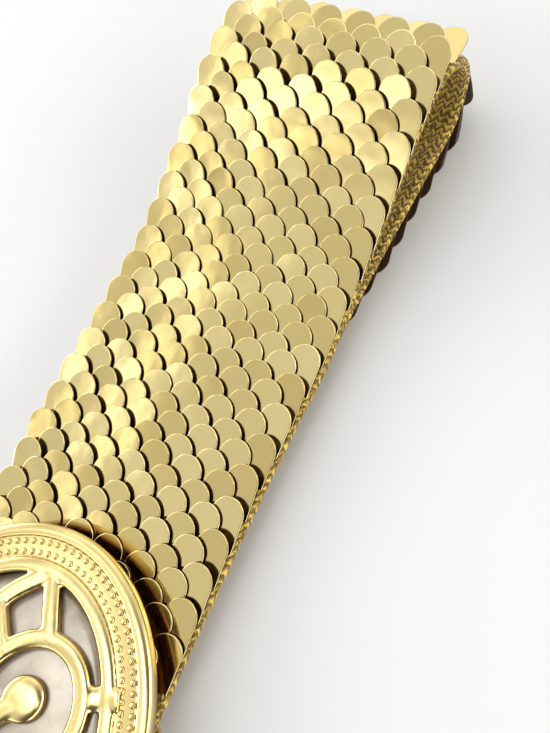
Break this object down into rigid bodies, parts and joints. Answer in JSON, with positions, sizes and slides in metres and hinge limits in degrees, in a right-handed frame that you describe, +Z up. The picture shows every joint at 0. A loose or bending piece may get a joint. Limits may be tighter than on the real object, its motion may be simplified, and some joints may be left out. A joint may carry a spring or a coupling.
{
  "type": "wide stretch belt with oval openwork buckle",
  "caption": "Wide elastic belt covered with overlapping metal scales, closed by a domed oval openwork buckle with a pearl inlay, lying flat as a loop.",
  "frame": {"origin": "middle of the buckle, in the plane of the surface that the belt lies on", "axes": "+X along the flat loop towards the bend that the scales point to from the buckle, +Y across the belt, +Z up out of the buckle"},
  "size_m": [0.372, 0.074, 0.0294],
  "materials": {
    "scales": "polished gold-plated sheet, fine brushed haze",
    "elastic": "woven elastic webbing with metallic yarn",
    "buckle_gold": "polished gold-plated casting",
    "pearl": "grey pearl shell, glossy",
    "clasp_metal": "satin gold-plated strip"
  },
  "bodies": {
    "root": {"elastic_band": "elastic", "scales_upper_right": "scales", "scales_fold_right": "scales", "scales_under": "scales", "scales_fold_left": "scales", "scales_upper_left": "scales", "end_clamp_right": "clasp_metal", "end_clamp_left": "clasp_metal", "clasp_plate": "clasp_metal", "clasp_hook": "clasp_metal", "clasp_bar": "clasp_metal", "buckle_back": "clasp_metal", "buckle_inlay": "pearl", "buckle_frame": "buckle_gold"}
  },
  "joints": []
}
